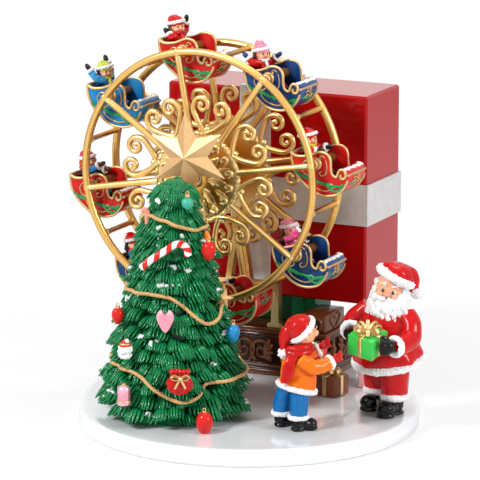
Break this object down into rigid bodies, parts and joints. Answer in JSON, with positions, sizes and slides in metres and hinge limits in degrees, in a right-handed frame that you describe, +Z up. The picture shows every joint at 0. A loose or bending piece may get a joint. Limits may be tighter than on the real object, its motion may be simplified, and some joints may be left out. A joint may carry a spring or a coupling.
{
  "type": "ferris wheel music box",
  "caption": "Festive clockwork music box: a gilt ferris wheel of hanging sleighs turns behind a trimmed tree, with figures, presents and a gift box on a snowy base.",
  "frame": {"origin": "middle of the whole object's underside, on the plane it stands on", "axes": "+X to the right as seen from the front, +Y to the back, towards the gift box, and +Z up"},
  "size_m": [0.2784, 0.3054, 0.2788],
  "materials": {
    "snow_resin": "glossy white",
    "felt": "short nap",
    "carved_resin": "near-black brown, semi-gloss",
    "gilt_metal": "polished gold",
    "gilt_resin": "polished gold",
    "red_lacquer": "high gloss",
    "silver_lacquer": "satin silver",
    "dark_green_resin": "glossy",
    "brass": "machined",
    "steel": "bright",
    "red_resin": "painted, glossy",
    "navy_resin": "painted, glossy",
    "blue_resin": "painted, glossy",
    "pink_resin": "painted, glossy",
    "green_resin": "painted, glossy",
    "tree_resin": "painted, glossy",
    "rope_resin": "painted, satin",
    "teal_resin": "painted, glossy",
    "white_resin": "painted, satin",
    "brown_resin": "painted, glossy",
    "orange_resin": "painted, glossy"
  },
  "bodies": {
    "stand": {"base": "snow_resin", "base_pad": "felt", "plinth": "carved_resin", "plinth_block": "carved_resin", "stand_frame": "gilt_metal", "star": "gilt_resin", "gift_box": "red_lacquer", "rear_cover": "red_lacquer", "ribbon_band": "silver_lacquer", "support_box": "dark_green_resin", "axle_bush": "brass", "movement_plate": "brass", "comb": "steel", "santa": "red_resin", "bulb_red_high": "red_resin", "bulb_red_left": "red_resin", "bulb_red_low": "red_resin", "cap_bauble": "red_resin", "bag_bauble": "red_resin", "present_red": "red_resin", "bulb_blue": "blue_resin", "heart_bauble": "pink_resin", "bell_bauble": "pink_resin", "present_pink": "pink_resin", "santa_gift": "green_resin", "tree": "tree_resin", "garland_upper": "rope_resin", "garland_middle": "rope_resin", "garland_lower": "rope_resin", "bulb_teal": "teal_resin", "candy_cane": "white_resin", "present_brown": "brown_resin", "child": "orange_resin"},
    "wheel": {"wheel_front": "gilt_metal", "wheel_rear": "gilt_metal", "axle": "steel", "axle_gear": "brass"},
    "pin_cylinder": {"pin_cylinder": "brass"},
    "spring_barrel": {"spring_barrel": "brass"},
    "governor": {"governor": "brass"},
    "winding_key": {"winding_key": "brass"},
    "gondola_1": {"sleigh_1": "red_resin", "rider_1": "red_resin"},
    "gondola_2": {"sleigh_2": "navy_resin", "rider_2": "red_resin"},
    "gondola_3": {"sleigh_3": "red_resin", "rider_3": "red_resin"},
    "gondola_4": {"sleigh_4": "navy_resin", "rider_4": "pink_resin"},
    "gondola_5": {"sleigh_5": "red_resin", "rider_5": "red_resin"},
    "gondola_6": {"sleigh_6": "navy_resin", "rider_6": "red_resin"},
    "gondola_7": {"sleigh_7": "red_resin", "rider_7": "blue_resin"},
    "gondola_8": {"sleigh_8": "blue_resin", "rider_8": "blue_resin"}
  },
  "joints": [
    {"name": "wheel_spin", "type": "hinge", "parent": "stand", "child": "wheel", "pos_m": [-0.03152, 0.00627, 0.168], "axis": [0, 1, 0], "continuous": true},
    {"name": "gondola_1_swing", "type": "hinge", "parent": "wheel", "child": "gondola_1", "pos_m": [-0.04697, 0.00627, 0.25565], "axis": [0, 1, 0], "continuous": true},
    {"name": "gondola_2_swing", "type": "hinge", "parent": "wheel", "child": "gondola_2", "pos_m": [0.01953, 0.00627, 0.24091], "axis": [0, 1, 0], "continuous": true},
    {"name": "gondola_3_swing", "type": "hinge", "parent": "wheel", "child": "gondola_3", "pos_m": [0.05613, 0.00627, 0.18346], "axis": [0, 1, 0], "continuous": true},
    {"name": "gondola_4_swing", "type": "hinge", "parent": "wheel", "child": "gondola_4", "pos_m": [0.04139, 0.00627, 0.11695], "axis": [0, 1, 0], "continuous": true},
    {"name": "gondola_5_swing", "type": "hinge", "parent": "wheel", "child": "gondola_5", "pos_m": [-0.01606, 0.00627, 0.08035], "axis": [0, 1, 0], "continuous": true},
    {"name": "gondola_6_swing", "type": "hinge", "parent": "wheel", "child": "gondola_6", "pos_m": [-0.08257, 0.00627, 0.09509], "axis": [0, 1, 0], "continuous": true},
    {"name": "gondola_7_swing", "type": "hinge", "parent": "wheel", "child": "gondola_7", "pos_m": [-0.11917, 0.00627, 0.15254], "axis": [0, 1, 0], "continuous": true},
    {"name": "gondola_8_swing", "type": "hinge", "parent": "wheel", "child": "gondola_8", "pos_m": [-0.10442, 0.00627, 0.21905], "axis": [0, 1, 0], "continuous": true},
    {"name": "cylinder_spin", "type": "hinge", "parent": "stand", "child": "pin_cylinder", "pos_m": [-0.03152, 0.08227, 0.14388], "axis": [0, 1, 0], "continuous": true},
    {"name": "barrel_spin", "type": "hinge", "parent": "stand", "child": "spring_barrel", "pos_m": [-0.06546, 0.08227, 0.15565], "axis": [0, 1, 0], "continuous": true},
    {"name": "governor_spin", "type": "hinge", "parent": "stand", "child": "governor", "pos_m": [-0.0134, 0.08227, 0.18069], "axis": [0, 1, 0], "continuous": true},
    {"name": "key_turn", "type": "hinge", "parent": "stand", "child": "winding_key", "pos_m": [-0.06546, 0.12727, 0.15565], "axis": [0, 1, 0], "continuous": true}
  ],
  "couplings": [
    {"joint": "gondola_1_swing", "follows": "wheel_spin", "ratio": -1},
    {"joint": "gondola_2_swing", "follows": "wheel_spin", "ratio": -1},
    {"joint": "gondola_3_swing", "follows": "wheel_spin", "ratio": -1},
    {"joint": "gondola_4_swing", "follows": "wheel_spin", "ratio": -1},
    {"joint": "gondola_5_swing", "follows": "wheel_spin", "ratio": -1},
    {"joint": "gondola_6_swing", "follows": "wheel_spin", "ratio": -1},
    {"joint": "gondola_7_swing", "follows": "wheel_spin", "ratio": -1},
    {"joint": "gondola_8_swing", "follows": "wheel_spin", "ratio": -1},
    {"joint": "cylinder_spin", "follows": "wheel_spin", "ratio": -2},
    {"joint": "barrel_spin", "follows": "wheel_spin", "ratio": -0.8},
    {"joint": "governor_spin", "follows": "wheel_spin", "ratio": -2.6667}
  ]
}
